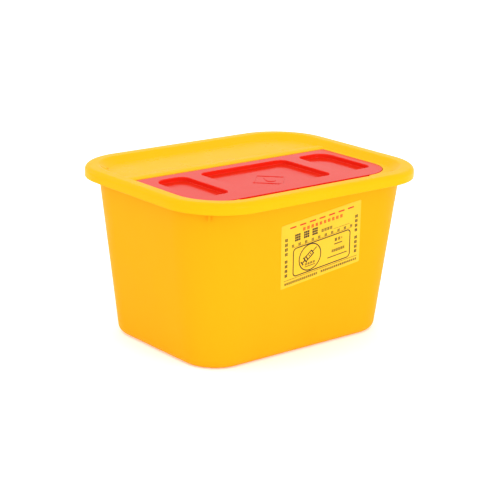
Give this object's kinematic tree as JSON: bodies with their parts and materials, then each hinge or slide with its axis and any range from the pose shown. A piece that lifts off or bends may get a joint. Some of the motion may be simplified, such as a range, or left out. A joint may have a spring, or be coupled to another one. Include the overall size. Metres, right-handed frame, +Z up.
{
  "type": "sharps container",
  "caption": "Tapered rounded tub for used needles, with a lift-off lid, a hinged flap closing the drop-in ports and a front label.",
  "frame": {"origin": "middle of the underside, on the surface the container stands on", "axes": "+X to the right along the long side, +Y from the front (label side) to the back, +Z up"},
  "size_m": [0.245, 0.195, 0.143],
  "materials": {
    "tub_plastic": "satin moulded polypropylene, warm yellow",
    "lid_plastic": "satin moulded polypropylene, warm yellow",
    "flap_plastic": "glossy moulded polypropylene, red",
    "label_paper": "printed adhesive film, yellow ground"
  },
  "bodies": {
    "tub": {"tub": "tub_plastic", "front_label": "label_paper"},
    "lid": {"lid": "lid_plastic"},
    "flap": {"flap": "flap_plastic"}
  },
  "joints": [
    {"name": "lid_lift", "type": "slide", "parent": "tub", "child": "lid", "axis": [0, 0, 1], "range_m": [0, 0.1]},
    {"name": "flap_hinge", "type": "hinge", "parent": "lid", "child": "flap", "pos_m": [0, 0.0212, 0.1363], "axis": [-1, 0, 0], "range_deg": [0, 105]}
  ]
}
